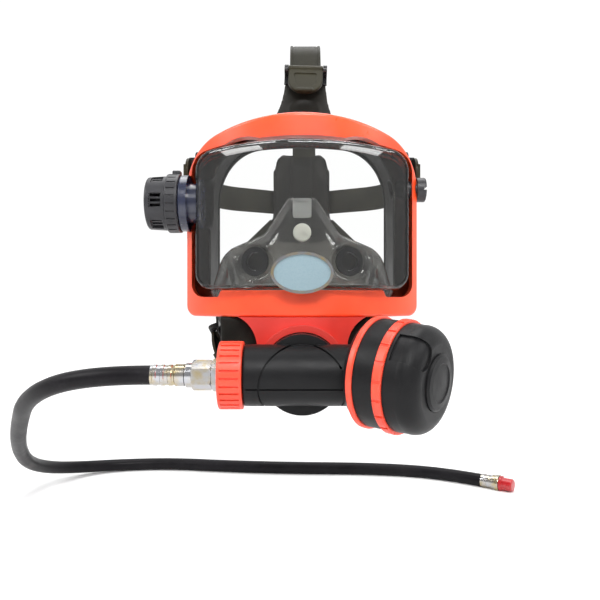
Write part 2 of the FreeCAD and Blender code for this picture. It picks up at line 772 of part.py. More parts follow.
def exhaust_cover():
    """The slotted cap over the drain valve under the chin."""
    cap = cyl_z(15, -135, -130, 0, DRAIN_Y)
    cap = rounded_edges(cap, 1.2, lambda p, e: p.z < -134.9)
    cap = cap.cut(cyl_z(12, -133, -128, 0, DRAIN_Y))
    for step in (-6, -2, 2, 6):
        cap = cap.cut(box(-8, 8, DRAIN_Y + step - 0.9, DRAIN_Y + step + 0.9, -137, -132))
    return cap


def exhaust_valve():
    return cyl_z(11.4, -128.6, -127.6, 0, DRAIN_Y).fuse(cyl_z(1.5, -133, -127, 0, DRAIN_Y)).removeSplitter()


# ---------------------------------------------------------------- regulator body

def in_head(shape):
    """Places a shape made along Z on the head's slanted axis."""
    return aim(shape, HEAD_CENTRE, HEAD_AXIS)


def beyond_head_back(start):
    """Everything on the head's side of a plane across its axis."""
    return in_head(cyl_z(150, start, 300, 0, 0))


def regulator_body():
    """The barrel with its hub, inlet spigot and port spigot."""
    barrel = cyl_x(R_BARREL, BARREL_LEFT, 90, BARREL_Y, BARREL_Z)
    barrel = rounded_edges(barrel, 1.5, lambda p, e: p.x < BARREL_LEFT + 0.1)
    hub = cyl_y(R_HUB, BARREL_Y, HUB_BACK_Y, 0, BARREL_Z)
    spigot = cyl_x(R_KNOB_BORE - SHAFT_GAP, KNOB_LEFT - 0.3, BARREL_LEFT, BARREL_Y, BARREL_Z)
    port = cyl_y(R_SPIGOT, HUB_BACK_Y, -46, 0, BARREL_Z)
    groove = cyl_y(R_SPIGOT + 2, -59.05, -56.95, 0, BARREL_Z)
    groove = groove.cut(cyl_y(R_SPIGOT - 2.05, -60, -56, 0, BARREL_Z))
    bore = cyl_x(R_BARREL_BORE, BARREL_LEFT + 5, 90, BARREL_Y, BARREL_Z)
    body = barrel.fuse(hub).cut(bore.fuse(lever_window(22, 60, -102.8)))
    body = body.cut(beyond_head_back(HEAD_BACK)).removeSplitter()
    body = rounded_edges(body, 1.2, lambda p, e: p.y > HUB_BACK_Y - 0.1 and e.Length > 60)
    body = body.fuse(spigot).fuse(port)
    body = body.cut(cyl_y(R_BARREL_BORE, BARREL_Y, -40, 0, BARREL_Z))
    body = body.cut(cyl_x(6, -60, 0, BARREL_Y, BARREL_Z)).cut(groove)
    for seam in body_seams():
        body = body.cut(seam)
    return body


def body_seams():
    """Grooves on the barrel's front: the hub's round joint and the halves' parting line."""
    outside = cyl_x(60, BARREL_LEFT + 2, 42, BARREL_Y, BARREL_Z)
    outside = outside.cut(cyl_x(R_BARREL - SEAM_DEPTH, BARREL_LEFT, 60, BARREL_Y, BARREL_Z))
    round_joint = cyl_y(R_SEAM + SEAM, -120, BARREL_Y, 0, SEAM_Z)
    round_joint = round_joint.cut(cyl_y(R_SEAM - SEAM, -120, -80, 0, SEAM_Z))
    parting = box(BARREL_LEFT, 60, -120, BARREL_Y, SEAM_Z - SEAM, SEAM_Z + SEAM)
    return outside.common(round_joint), outside.common(parting)


def lever_window(x0, x1, y0):
    """The gap that the lever's short arm swings in, between the case and the barrel."""
    return box(x0, x1, y0, -84, PIN_Z - 8, PIN_Z + 5.6)


def head_housing():
    """The round case that holds the diaphragm, joined to the barrel's cut end."""
    case = lathe([
        (0, HEAD_BACK), (26, HEAD_BACK), (31.5, HEAD_BACK + 2), (34, HEAD_BACK + 5),
        (R_HEAD, -2), (33, -2), (33, 2), (R_HEAD, 2), (R_HEAD, 15), (34, 15.5),
        (R_CHAMBER, 15.5), (R_CHAMBER, -3.5), (0, -3.5),
    ])
    case = in_head(case)
    case = case.cut(cyl_x(R_BARREL_BORE, 0, 52, BARREL_Y, BARREL_Z))
    case = case.cut(lever_window(22, 44, -110))
    for z in (PIN_Z - 10.5, PIN_Z + 6.5):
        lug = cyl_z(3.4, z, z + 4, PIN_X, PIN_Y)
        lug = lug.fuse(box(PIN_X - 9, PIN_X + 1, PIN_Y - 3, PIN_Y + 3, z, z + 4))
        lug = lug.common(in_head(cyl_z(R_CHAMBER + 1, -4, 10, 0, 0)))
        case = case.fuse(lug)
    case = case.cut(cyl_z(R_PIN, PIN_Z - 14, PIN_Z + 14, PIN_X, PIN_Y))
    return case.removeSplitter()


def head_ring():
    """The thin band behind the housing."""
    ring = lathe([(33, -2), (35.3, -2), (36, -1.3), (36, 1.3), (35.3, 2), (33, 2)])
    return in_head(ring)


def lock_ring():
    """The coupling ring that clamps the cover to the housing, with grip notches."""
    ring = lathe([
        (R_CHAMBER, 15.5), (35.2, 15.5), (36, 16.3), (36, COVER_START - 0.8),
        (35.2, COVER_START), (R_CHAMBER, COVER_START),
    ])
    for i in range(LOCK_NOTCHES):
        notch = box(35.1, 38, -1.0, 1.0, 14, COVER_START + 1)
        notch.rotate(V(0, 0, 0), Z, 360.0 / LOCK_NOTCHES * i)
        ring = ring.cut(notch)
    return in_head(ring)


def cover_dome(depth):
    """The purge cover's outside, or the layer's bottom at a depth below it, as a solid."""
    rim = V(34.0 - depth, 0, COVER_START)
    shoulder = V(33.6 - depth, 0, 29.0)
    bend = V(31.0 - depth * 0.8, 0, 37.6 - depth * 0.6)
    crown = V(23.5, 0, COVER_FACE - depth)
    top = V(0, 0, COVER_FACE - depth)
    floor = V(0, 0, COVER_START)
    profile = Part.Wire([
        Part.LineSegment(rim, shoulder).toShape(),
        Part.Arc(shoulder, bend, crown).toShape(),
        Part.LineSegment(crown, top).toShape(),
        Part.LineSegment(top, floor).toShape(),
        Part.LineSegment(floor, rim).toShape(),
    ])
    return Part.Face(profile).revolve(V(0, 0, 0), Z, 360)


def finger_scallop():
    """The shallow U-shaped hollow in the cover, open at the side."""
    centre = SCALLOP_START + SCALLOP_HALF_W
    prism = cyl_z(SCALLOP_HALF_W, COVER_START + 2, 60, centre, 0)
    prism = prism.fuse(box(centre, 40, -SCALLOP_HALF_W, SCALLOP_HALF_W, COVER_START + 2, 60))
    prism.rotate(V(0, 0, 0), Z, SCALLOP_ANGLE)
    layer = cover_dome(0).cut(cover_dome(SCALLOP_DEPTH))
    return layer.common(prism)


def purge_cover():
    """The domed cap, with a finger scallop, an outlet notch and the button's well."""
    dome = cover_dome(0).cut(finger_scallop())
    hollow = lathe([(0, COVER_START - 1), (30.8, COVER_START - 1), (30.8, 27.5), (27.5, 34.5),
                    (20.5, 38.6), (0, 38.6)])
    dome = dome.cut(hollow)
    skirt = lathe([(28.5, 16), (R_CHAMBER, 16), (R_CHAMBER, COVER_START + 3), (28.5, COVER_START + 3)])
    dome = dome.fuse(skirt)
    dome = dome.cut(cyl_z(R_BUTTON + SHAFT_GAP, 30, 50, 0, 0))
    notch = box(29, 40, -3.4, 3.4, 33.0, 50)
    notch.rotate(V(0, 0, 0), Z, NOTCH_ANGLE)
    dome = dome.cut(notch)
    guide = cyl_z(9.5, GUIDE_S, GUIDE_S + GUIDE_T, 0, 0)
    for turn in (0, 60, 120):
        arm = box(-32, 32, -2, 2, GUIDE_S, GUIDE_S + GUIDE_T)
        arm.rotate(V(0, 0, 0), Z, turn)
        guide = guide.fuse(arm.common(cyl_z(31.5, 0, 60, 0, 0)))
    guide = guide.cut(cyl_z(R_GUIDE + SHAFT_GAP, 0, 60, 0, 0))
    return in_head(dome.fuse(guide).removeSplitter())


def purge_button():
    """The round push button with its stem, which bears on the diaphragm."""
    outer = [(0, 39.4), (R_BUTTON, 39.4), (R_BUTTON, 42.4), (R_BUTTON - 1.4, 43.6), (12.2, 44.1),
             (11.4, 43.4), (0, 43.8)]
    pad = lathe(outer)
    stem = cyl_z(R_GUIDE, 15.6, 40, 0, 0)
    return in_head(pad.fuse(stem).removeSplitter())


def purge_spring():
    spring = helix_spring(6.5, 0.6, 8.5, 4.5)
    spring.translate(V(0, 0, GUIDE_S + GUIDE_T + 0.7))
    return in_head(spring)


def diaphragm():
    """The rubber disc across the case, with a convolution and a stiff centre."""
    return in_head(lathe([
        (0, 13), (24, 13), (25.5, 11.4), (27.5, 11.4), (29, 13), (R_CHAMBER, 13),
        (R_CHAMBER, 14), (28.6, 14), (27, 12.4), (26, 12.4), (24.4, 14), (13, 14),
        (12, 15), (0, 15),
    ]))


def demand_lever():
    """The bent lever: a long arm under the diaphragm and a short arm at the poppet."""
    pivot = V(PIN_X, PIN_Y, 0)
    long_end = V(55.4, -102.0, 0)
    short_end = V(31.0, -87.0, 0)
    lever = cyl_z(3.5, PIN_Z - 5, PIN_Z + 5, PIN_X, PIN_Y)
    for end in (long_end, short_end):
        reach = end - pivot
        arm = box(0, reach.Length, -1.3, 1.3, PIN_Z - 2.5, PIN_Z + 2.5)
        arm.rotate(V(0, 0, 0), Z, math.degrees(math.atan2(reach.y, reach.x)))
        arm.translate(pivot)
        lever = lever.fuse(arm).fuse(cyl_z(1.3, PIN_Z - 2.5, PIN_Z + 2.5, end.x, end.y))
    lever = lever.cut(cyl_z(R_PIN + SHAFT_GAP, PIN_Z - 9, PIN_Z + 9, PIN_X, PIN_Y))
    return lever.removeSplitter()


def lever_pin():
    return cyl_z(R_PIN, PIN_Z - 10.5, PIN_Z + 10.5, PIN_X, PIN_Y)


def valve_tube():
    """The tube inside the barrel, with the poppet's seat and its guide."""
    tube = cyl_x(8, -32.7, 14, BARREL_Y, BARREL_Z)
    tube = tube.cut(cyl_x(R_POPPET + SHAFT_GAP, -40, -16, BARREL_Y, BARREL_Z))
    tube = tube.cut(cyl_x(4.2, -17, -14.5, BARREL_Y, BARREL_Z))
    tube = tube.cut(cyl_x(6, -14.5, 2, BARREL_Y, BARREL_Z))
    tube = tube.cut(cyl_x(R_STEM + SHAFT_GAP, 0, 20, BARREL_Y, BARREL_Z))
    tube = tube.cut(cyl_z(3, BARREL_Z - 20, BARREL_Z + 20, -6, BARREL_Y))
    return tube


def poppet():
    """The valve's sliding head and stem."""
    head = cyl_x(R_POPPET, -20, -16.05, BARREL_Y, BARREL_Z)
    stem = cyl_x(R_STEM, -16.05, 29.1, BARREL_Y, BARREL_Z)
    return head.fuse(stem).removeSplitter()


def poppet_spring():
    spring = helix_spring(3.8, 0.45, 10.0, 6)
    return aim(spring, V(-31.0, BARREL_Y, BARREL_Z), X)


# ---------------------------------------------------------------- inlet, hose and its end

def adjust_knob():
    """The ribbed ring that turns on the inlet spigot."""
    ring = cyl_x(R_KNOB, KNOB_LEFT, BARREL_LEFT - 0.3, BARREL_Y, BARREL_Z)
    ring = rounded_edges(ring, 1.0, lambda p, e: True)
    for i in range(KNOB_RIBS):
        gap = box(KNOB_LEFT + 1.8, BARREL_LEFT - 2.0, BARREL_Y - 0.75, BARREL_Y + 0.75,
                  BARREL_Z + R_KNOB - 1.1, BARREL_Z + R_KNOB + 2)
        gap.rotate(V(0, BARREL_Y, BARREL_Z), X, 360.0 / KNOB_RIBS * i)
        ring = ring.cut(gap)
    recess = cyl_x(16.5, KNOB_LEFT - 1, KNOB_LEFT + 2.2, BARREL_Y, BARREL_Z)
    ring = ring.cut(recess).cut(cyl_x(R_KNOB_BORE, -70, -30, BARREL_Y, BARREL_Z))
    return ring


def inlet_fitting():
    """The threaded nipple with its hexagon, screwed into the spigot."""
    hexa = hexagon(18.6, -58.3, -54.2, BARREL_Y, BARREL_Z)
    washer = cyl_x(11.5, -54.2, -54.0, BARREL_Y, BARREL_Z)
    shank = cyl_x(6, -54.2, -38, BARREL_Y, BARREL_Z)
    nipple = cyl_x(NIPPLE_R, -67, -58, BARREL_Y, BARREL_Z)
    for x in (-66, -64, -62, -60):
        nipple = nipple.cut(cyl_x(NIPPLE_R + 1, x - 0.3, x + 0.3, BARREL_Y, BARREL_Z)
                            .cut(cyl_x(NIPPLE_R - 0.5, x - 1, x + 1, BARREL_Y, BARREL_Z)))
    fitting = hexa.fuse(washer).fuse(shank).fuse(nipple)
    return fitting.cut(cyl_x(2.6, -70, -30, BARREL_Y, BARREL_Z)).removeSplitter()


def swivel_nut():
    """The hexagon nut that spins on the nipple and holds the hose's end."""
    nut = hexagon(17.5, -71.3, -58.7, BARREL_Y, BARREL_Z)
    nut = nut.cut(cyl_x(NIPPLE_R + SHAFT_GAP, -69, -50, BARREL_Y, BARREL_Z))
    return nut.cut(cyl_x(4.05, -80, -50, BARREL_Y, BARREL_Z))


def hose_sleeve():
    """The hose's metal end: a flanged stem, a ferrule and a crimped sleeve."""
    profile = [
        (2.2, 1.8), (4.0, 1.8), (4.0, 5.9), (8.1, 5.9), (8.1, 9.6), (6.6, 9.9), (6.6, 10.4), (7.3, 10.8),
        (7.3, 16.6), (6.6, 17.2), (6.4, 18.4), (6.9, 19.0), (6.9, 21.0), (6.5, 21.4),
        (6.5, 23.6), (6.9, 24.0), (6.9, 26.0), (6.5, 26.4), (6.5, 28.6), (6.9, 29.0),
        (6.9, 31.0), (6.5, 31.4), (6.5, SLEEVE_LENGTH), (2.2, SLEEVE_LENGTH),
    ]
    start = V(SLEEVE_END_X + SLEEVE_LENGTH, BARREL_Y, BARREL_Z)
    return aim(lathe(profile), start, X * -1)


def route_radius(i):
    """The arc at a point of the hose's route, as large as its two runs allow."""
    before, point, after = [V(*HOSE_ROUTE[k]) for k in (i - 1, i, i + 1)]
    turn = (point - before).getAngle(after - point)
    run = min((point - before).Length, (after - point).Length)
    return ARC_SHARE * run / math.tan(turn / 2)


def hose_path():
    spots = [V(*p) for p in HOSE_ROUTE]
    edges = []
    at = spots[0]
    for i in range(1, len(spots) - 1):
        start, middle, end = corner(spots[i - 1], spots[i], spots[i + 1], route_radius(i))
        edges.append(Part.LineSegment(at, start).toShape())
        edges.append(Part.Arc(start, middle, end).toShape())
        at = end
    edges.append(Part.LineSegment(at, spots[-1]).toShape())
    return Part.Wire(edges)


def hose():
    path = hose_path()
    start = V(*HOSE_ROUTE[0])
    along = V(*HOSE_ROUTE[1]) - start
    section = Part.Wire(Part.Circle(start, along, HOSE_R).toShape())
    tube = path.makePipeShell([section], True, True)
    radii = [round(route_radius(i)) for i in range(1, len(HOSE_ROUTE) - 1)]
    exact = path.Length * math.pi * HOSE_R ** 2
    print("hose radii", radii, "length", round(path.Length, 1), "volume", round(tube.Volume / exact, 4))
    return tube


def at_hose_end(shape):
    """Places a shape made along Z on the hose's far end."""
    end = V(*HOSE_ROUTE[-1])
    return aim(shape, end, end - V(*HOSE_ROUTE[-2]))


def hose_end_sleeve():
    profile = [
        (2.2, 0), (6.5, 0), (6.5, 1.4), (6.9, 1.8), (6.9, 3.8), (6.5, 4.2), (6.5, 6.4), (6.9, 6.8),
        (6.9, 8.8), (6.5, 9.2), (6.5, 11.0), (7.4, 11.6), (7.4, 15), (2.2, 15),
    ]
    return at_hose_end(lathe(profile))


def hose_end_fitting():
    """The male thread at the hose's supply end, which a first stage takes."""
    flange = lathe([(2.2, 15), (7.9, 15), (8.1, 15.4), (8.1, 18.4), (7.9, 18.8), (2.2, 18.8)])
    thread = lathe([(2.2, 18.8), (R_END_THREAD, 18.8), (R_END_THREAD, 30), (2.2, 30)])
    return at_hose_end(flange.fuse(thread).removeSplitter())


def dust_cap():
    """The push-on cap over the supply end's thread."""
    cap = lathe([(0, 19.2), (7.6, 19.2), (7.6, 21.2), (6.4, 21.8), (6.2, 31.0), (5.4, 32.2), (0, 32.4)])
    return at_hose_end(cap.cut(cyl_z(R_END_THREAD + SHAFT_GAP, 10, 30.4, 0, 0)))


# ---------------------------------------------------------------- all pieces

def build():
    """Every node's name and the function that makes it."""
    ring = frame_ring()
    face_seal, chin_cup = seal_parts()
    pieces = {
        "upper_frame": lambda: frame_half(ring, True),
        "lower_frame": lambda: frame_half(ring, False),
        "face_seal": lambda: face_seal,
        "chin_cup": lambda: chin_cup,
        "head_pad": head_pad,
        "top_strap": top_strap,
    }
    for maker in (
        frame_screws, lens, inner_mask, inner_valve_seats, inner_valves, nose_window,
        vent_disc, badge, badge_rim, side_valve_neck, side_valve_collar, side_valve_knob,
        side_valve_shutter, port_plug, chin_bracket, port_ring, port_o_ring, exhaust_cover,
        exhaust_valve, regulator_body, head_housing, head_ring, lock_ring, purge_cover,
        purge_button, purge_spring, diaphragm, demand_lever, lever_pin, valve_tube, poppet,
        poppet_spring, adjust_knob, inlet_fitting, swivel_nut, hose_sleeve, hose,
        hose_end_sleeve, hose_end_fitting, dust_cap,
    ):
        pieces[maker.__name__] = maker
    for name in BUCKLES:
        pieces[name + "_buckle"] = lambda name=name: buckle_base(name)
        pieces[name + "_lever"] = lambda name=name: buckle_lever(name)
    for word, side in (("right", -1), ("left", 1)):
        pieces["temple_strap_" + word] = lambda w=word, s=side: temple_strap("temple_" + w, s)
        pieces["lower_strap_" + word] = lambda w=word, s=side: lower_strap("lower_" + w, s)
    return pieces


def save_all():
    os.makedirs("parts", exist_ok=True)
    for name, make in build().items():
        shape = make()
        solids = shape.Solids
        shape = solids[0] if len(solids) == 1 else Part.makeCompound(solids)
        print(name, "solids", len(solids), "valid", shape.isValid(), "volume", round(shape.Volume, 1))
        shape.exportStep("parts/" + name + ".step")


save_all()
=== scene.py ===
import bpy
import bmesh
import math
from mathutils import Matrix, Vector


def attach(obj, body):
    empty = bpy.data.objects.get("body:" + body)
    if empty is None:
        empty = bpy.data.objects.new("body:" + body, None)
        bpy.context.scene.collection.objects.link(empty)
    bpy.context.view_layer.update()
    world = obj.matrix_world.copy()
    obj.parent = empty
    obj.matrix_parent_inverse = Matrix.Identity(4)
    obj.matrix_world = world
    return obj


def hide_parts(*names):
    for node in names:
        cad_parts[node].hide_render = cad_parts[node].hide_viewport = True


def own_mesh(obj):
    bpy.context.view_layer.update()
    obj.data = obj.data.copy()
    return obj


# Looks for the full-face diving mask. Metres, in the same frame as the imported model.

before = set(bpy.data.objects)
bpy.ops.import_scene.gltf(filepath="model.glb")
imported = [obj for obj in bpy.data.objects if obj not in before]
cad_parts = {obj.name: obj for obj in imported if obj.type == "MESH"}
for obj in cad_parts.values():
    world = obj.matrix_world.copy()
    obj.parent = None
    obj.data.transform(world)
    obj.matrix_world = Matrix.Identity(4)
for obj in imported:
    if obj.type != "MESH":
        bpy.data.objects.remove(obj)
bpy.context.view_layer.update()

MM = 0.001
MASK = "mask"


# ---------------------------------------------------------------- numbers
# Lengths are in mm. A value that has "* MM" in it is in metres, and so is one whose comment says so.

# The camera's place, in metres, and its lens and sensor
CAMERA_PLACE = (-0.0015, -0.502, -0.0605)
LENS_MM = 38.4
SENSOR_MM = 36.0

HOSE_D = 12.7 * MM
HOSE_ROUTE_MM = [
    (-98.4, -85.0, -109.4),
    (-142.0, -85.0, -109.4),
    (-191.0, -59.0, -126.0),
    (-225.0, 6.0, -161.0),
    (-250.0, 63.0, -191.0),
    (-264.0, 114.0, -217.0),
    (-261.0, 160.0, -234.0),
    (-241.0, 197.0, -243.0),
    (-203.0, 219.0, -246.0),
    (-146.0, 225.0, -246.0),
    (-80.0, 213.0, -246.0),
    (-8.0, 206.0, -246.0),
    (62.0, 204.0, -246.0),
    (118.0, 195.0, -246.0),
    (159.0, 178.0, -246.0),
    (186.0, 157.0, -246.0),
]

# Each buckle: its place, the way the strap leaves it backwards, and outward
BUCKLES = {
    "top": ((3.0, -4.0, 114.0), (0.035, 0.51, 0.86), (0, -0.86, 0.51)),
    "temple_right": ((-85.6, 35.0, 42.0), (0.0, 1.0, 0.0), (-1.0, 0.0, 0.0)),
    "temple_left": ((85.6, 35.0, 42.0), (0.0, 1.0, 0.0), (1.0, 0.0, 0.0)),
    "lower_right": ((-62.5, 25.0, -93.0), (-0.13, 0.86, 0.50), (-0.943, 0.050, -0.330)),
    "lower_left": ((62.5, 25.0, -93.0), (0.13, 0.86, 0.50), (0.943, 0.050, -0.330)),
}
SEAL_NODES = ["face_seal", "chin_cup"]

# How far rounded edges reach on moulded plastic, and how far the wear on them does
ROUNDED_EDGE = 0.35 * MM
RUBBED_REACH = 0.6 * MM

# An edge that turns by more degrees than this stays sharp
SHARP_TURN = 50

# How finely paths are cut on straights and on corners
STRAIGHT_STEP = 1.25
CORNER_STEP = 1.5

# The hollow in the top tab: its middle below the buckle, half sizes across and along, how steep
# its wall is, and the lip around it. TAB_... bounds what is touched.
DISH_BELOW = 38.0
DISH_HALVES = (9.0, 9.5)
DISH_DEPTH = 1.1
DISH_STEEP = 9.0
DISH_LIP = 0.45
DISH_LIP_SHAPE = (1.22, 0.12)
TAB_HALF = 22
TAB_RUN = (-60, -8)
TAB_SKIN = 2.0

# The face opening, with the radii of its lower and upper corners, and the curve of the seal that it lies on
OPENING_HALF = 68.5
OPENING_HEIGHTS = (-66.0, 53.0)
OPENING_RADII = (18, 38)
SEAL_CURVE_Y = 47.0
SEAL_CURVE_R = 72.0
SEAL_CURVE_REACH = 71.0
# Each bead around the opening: its name, how far outside the opening it lies,
# its radius and how far it stands out
BEADS = (("face_bead", 1.2, 1.9, 0.4), ("face_bead_outer", 5.4, 0.8, 0.1))
BEAD_SIDES = 12

# The inner mask's front, from its lower left round to its lower right
MASK_OUTLINE = [(-63, -62), (-66.5, -50), (-58, -25), (-27, -14), (-9.5, 12), (9.5, 12), (27, -14), (58, -25),
                (66.5, -50), (63, -62)]
# Each (height, middle, width) relief is raised by height at the middle and fades out over the width.
# These go by the distance from that outline, and the last by the distance from a valve.
RIM_ROLL = (1.5, 1.5, 2.0)
RIM_CHANNEL = (-1.0, 6.5, 2.2)
VALVE_BOSS = (1.1, 13.5, 1.6)
# Two folds on each cheek: height, distance from the middle, and width
FOLDS = ((1.4, 46, 2.4), (1.0, 52, 2.0))
FOLD_LEAN = 0.25
FOLD_FOOT = -45
CHEEK_HEIGHT = 2.6
CHEEK_AT = (17, -24)
CHEEK_HALVES = (9, 12)
# Places that stay flat: the valves, the vent disc and the nose window, with how far each calms the relief
VALVE_AT = (33, -33)
VENT_AT = (0, -12.8)
WINDOW_AT = (0, 5)
VALVE_CALM = 11
BRIDGE_CALM = 9
RIM_CALM = 3
FRONT_FROM_Y = -18

# A strap: half of its section from the back's edge to the ribbed middle, as (out from the centre,
# height), and where the middle's points lie across it. Ribs run from RIBS_FROM to RIBS_TO along it.
STRAP_T = 2.0
STRAP_LIFT = 1.6
STRAP_EDGE = [(11.3, 0.0), (11.8, 0.15), (12.0, 0.6), (12.0, 1.6), (11.8, 2.15), (11.2, 2.35), (10.4, 2.35),
              (9.9, 2.1), (9.6, 1.75), (9.0, 1.75)]
RIB_PLACES = (-8.6, -4.3, 0.0, 4.3, 8.6)
RIBS_FROM = 52.0
RIBS_TO = 104.0
RIB_STEP = 5.0
RIB_SHARE = 0.45
RIB_RISE = 0.28
PLAIN_DROP = -0.05
END_SHARE = 0.86
BUCKLE_INSET = 9

# The pad: its lower edge, height, half width there and how much narrower its top is;
# then its grooves and swelling
PAD_CENTRE_Y = 84.0
PAD_BACK_Y = 172.0
PAD_RADIUS = 88.0
PAD_MIDDLE_Z = 46.0
PAD_LOW = -6
PAD_TALL = 104
PAD_HALF = 38
PAD_NARROWS = 8
EDGE_GROOVE = (1.5, 6.5, 1.3)
UPRIGHT_GROOVE = (1.2, 11.0, 1.2)
GROOVE_FROM_EDGE = 8
GROOVE_LEAN = 8
PAD_SWELL = 2.2 * MM
PAD_START_SHARE = 0.93
PAD_PRESSURE = 4.0
PAD_FRAMES = 20

# The floor, in metres. Its painted glow grows from low to high between two distances from the origin, and
# is scaled by how far behind the mask a place lies; each is (low, high, start, end).
FLOOR_Z = -252.35 * MM
FLOOR_HALF = 6.0
GLOW_AWAY = (0.0, 0.5, 0.45, 1.6)
GLOW_BEHIND = (0.0, 1.0, -0.5, 0.5)
# The backdrop's strength in front and behind, and where it changes along Y
FRONT_GREY = 0.50
BACK_WHITE = 1.05
BACKDROP_TURNS = (-0.45, 0.55)
LIGHTS_AIM = (0, -0.06, -0.06)
# Each light, in metres and watts: its name, place, width, height and power
LIGHTS = (
    ("key", (0.10, -0.95, 0.72), 0.55, 0.35, 11.0),
    ("left", (-0.95, -0.45, 0.62), 0.35, 0.5, 6.0),
    ("right", (0.95, -0.45, 0.62), 0.35, 0.5, 5.0),
    ("top", (0.0, 0.25, 0.95), 0.7, 0.7, 6.0),
)


# ---------------------------------------------------------------- camera and hose

def make_camera():
    """The view from in front, level, at about half a metre."""
    data = bpy.data.cameras.new("view")
    data.sensor_width = SENSOR_MM
    data.lens = LENS_MM
    camera = bpy.data.objects.new("view", data)
    camera.location = CAMERA_PLACE
    camera.rotation_euler = (math.pi / 2, 0, 0)
    bpy.context.collection.objects.link(camera)
    bpy.context.scene.camera = camera


def make_hose():
    """The supply hose as one cord from the regulator to its far end."""
    data = bpy.data.curves.new("hose_rubber", "CURVE")
    data.dimensions = "3D"
    data.resolution_u = 16
    data.bevel_depth = 1.0
    data.bevel_resolution = 8
    data.use_fill_caps = True
    spline = data.splines.new("NURBS")
    spline.points.add(len(HOSE_ROUTE_MM) - 1)
    for point, place in zip(spline.points, HOSE_ROUTE_MM):
        point.co = (place[0] * MM, place[1] * MM, place[2] * MM, 1.0)
        point.radius = HOSE_D / 2
    spline.order_u = 3
    spline.use_endpoint_u = True
    hose = bpy.data.objects.new("hose_rubber", data)
    bpy.context.collection.objects.link(hose)
    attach(hose, MASK)
    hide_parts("hose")
    return hose


make_camera()
hose = make_hose()


# ---------------------------------------------------------------- materials

class Nodes:
    """A short way to write a material's node tree."""

    def __init__(self, name):
        self.material = bpy.data.materials.new(name)
        self.material.use_nodes = True
        self.tree = self.material.node_tree
        self.shader = self.tree.nodes["Principled BSDF"]
        self.place = self.add("ShaderNodeTexCoord").outputs["Object"]

    def add(self, kind, **settings):
        node = self.tree.nodes.new(kind)
        for key, value in settings.items():
            setattr(node, key, value)
        return node

    def link(self, source, target):
        self.tree.links.new(source, target)

    def noise(self, scale, detail=4.0, rough=0.55, place=None):
        node = self.add("ShaderNodeTexNoise")
        node.inputs["Scale"].default_value = scale
        node.inputs["Detail"].default_value = detail
        node.inputs["Roughness"].default_value = rough
        self.link(place or self.place, node.inputs["Vector"])
        return node.outputs["Fac"]

    def spread(self, source, low, high, start=0.3, end=0.7):
        """Carries what lies between start and end over to low and high."""
        node = self.add("ShaderNodeMapRange")
        node.inputs["From Min"].default_value = start
        node.inputs["From Max"].default_value = end
        node.inputs["To Min"].default_value = low
        node.inputs["To Max"].default_value = high
        self.link(source, node.inputs["Value"])
        return node.outputs["Result"]

    def mix(self, amount, first, second):
        node = self.add("ShaderNodeMix", data_type="RGBA")
        for socket, value in ((node.inputs[0], amount), (node.inputs[6], first), (node.inputs[7], second)):
            self.feed(socket, value)
        return node.outputs[2]

    def feed(self, socket, value):
        """Links an output to a socket, or sets its colour or number."""
        if isinstance(value, bpy.types.NodeSocket):
            self.link(value, socket)
        elif hasattr(value, "__len__"):
            socket.default_value = value if len(value) == 4 else (*value, 1.0)
        else:
            socket.default_value = value

    def maths(self, operation, first, second):
        node = self.add("ShaderNodeMath", operation=operation)
        self.feed(node.inputs[0], first)
        self.feed(node.inputs[1], second)
        return node.outputs[0]

    def bump(self, height, distance, strength=1.0, under=None):
        node = self.add("ShaderNodeBump")
        node.inputs["Strength"].default_value = strength
        node.inputs["Distance"].default_value = distance
        self.link(height, node.inputs["Height"])
        if under is not None:
            self.link(under, node.inputs["Normal"])
        return node.outputs["Normal"]

    def edges(self):
        """How far the surface turns within a short reach: 0 on flats, up to 1 on edges."""
        bevel = self.add("ShaderNodeBevel", samples=4)
        bevel.inputs["Radius"].default_value = RUBBED_REACH
        geometry = self.add("ShaderNodeNewGeometry")
        dot = self.add("ShaderNodeVectorMath", operation="DOT_PRODUCT")
        self.link(bevel.outputs["Normal"], dot.inputs[0])
        self.link(geometry.outputs["Normal"], dot.inputs[1])
        return self.spread(dot.outputs["Value"], 1.0, 0.0, 0.80, 0.99)

    def set(self, **values):
        """Feeds the shader and gives the material."""
        names = {
            "colour": "Base Color", "rough": "Roughness", "metal": "Metallic", "normal": "Normal",
            "coat": "Coat Weight", "coat_rough": "Coat Roughness", "clear": "Transmission Weight",
            "ior": "IOR", "sheen": "Sheen Weight", "specular": "Specular IOR Level",
        }
        for key, value in values.items():
            self.feed(self.shader.inputs[names[key]], value)
        return self.material


def moulded_plastic(name, colour, darker, rough, grain=1500.0, depth=0.05 * MM, coat=0.0, worn=None,
                    shine=0.5):
    """Moulded plastic: slight mottling, a fine spark-eroded grain, and rubbed edges if worn has a colour."""
    n = Nodes(name)
    mottle = n.noise(28.0, detail=5.0)
    base = n.mix(n.spread(mottle, 0.0, 1.0), colour, darker)
    if worn is not None:
        rub = n.maths("MULTIPLY", n.edges(), n.spread(n.noise(260.0), 0.0, 0.7, 0.45, 0.65))
        base = n.mix(rub, base, worn)
    fine = n.noise(grain, detail=3.0, rough=0.7)
    round_edge = n.add("ShaderNodeBevel", samples=4)
    round_edge.inputs["Radius"].default_value = ROUNDED_EDGE
    normal = n.bump(fine, depth, 0.7, round_edge.outputs["Normal"])
    smear = n.noise(60.0, detail=6.0)
    return n.set(colour=base, rough=n.spread(smear, rough - 0.06, rough + 0.09), normal=normal,
                 coat=coat, coat_rough=0.25, specular=shine)


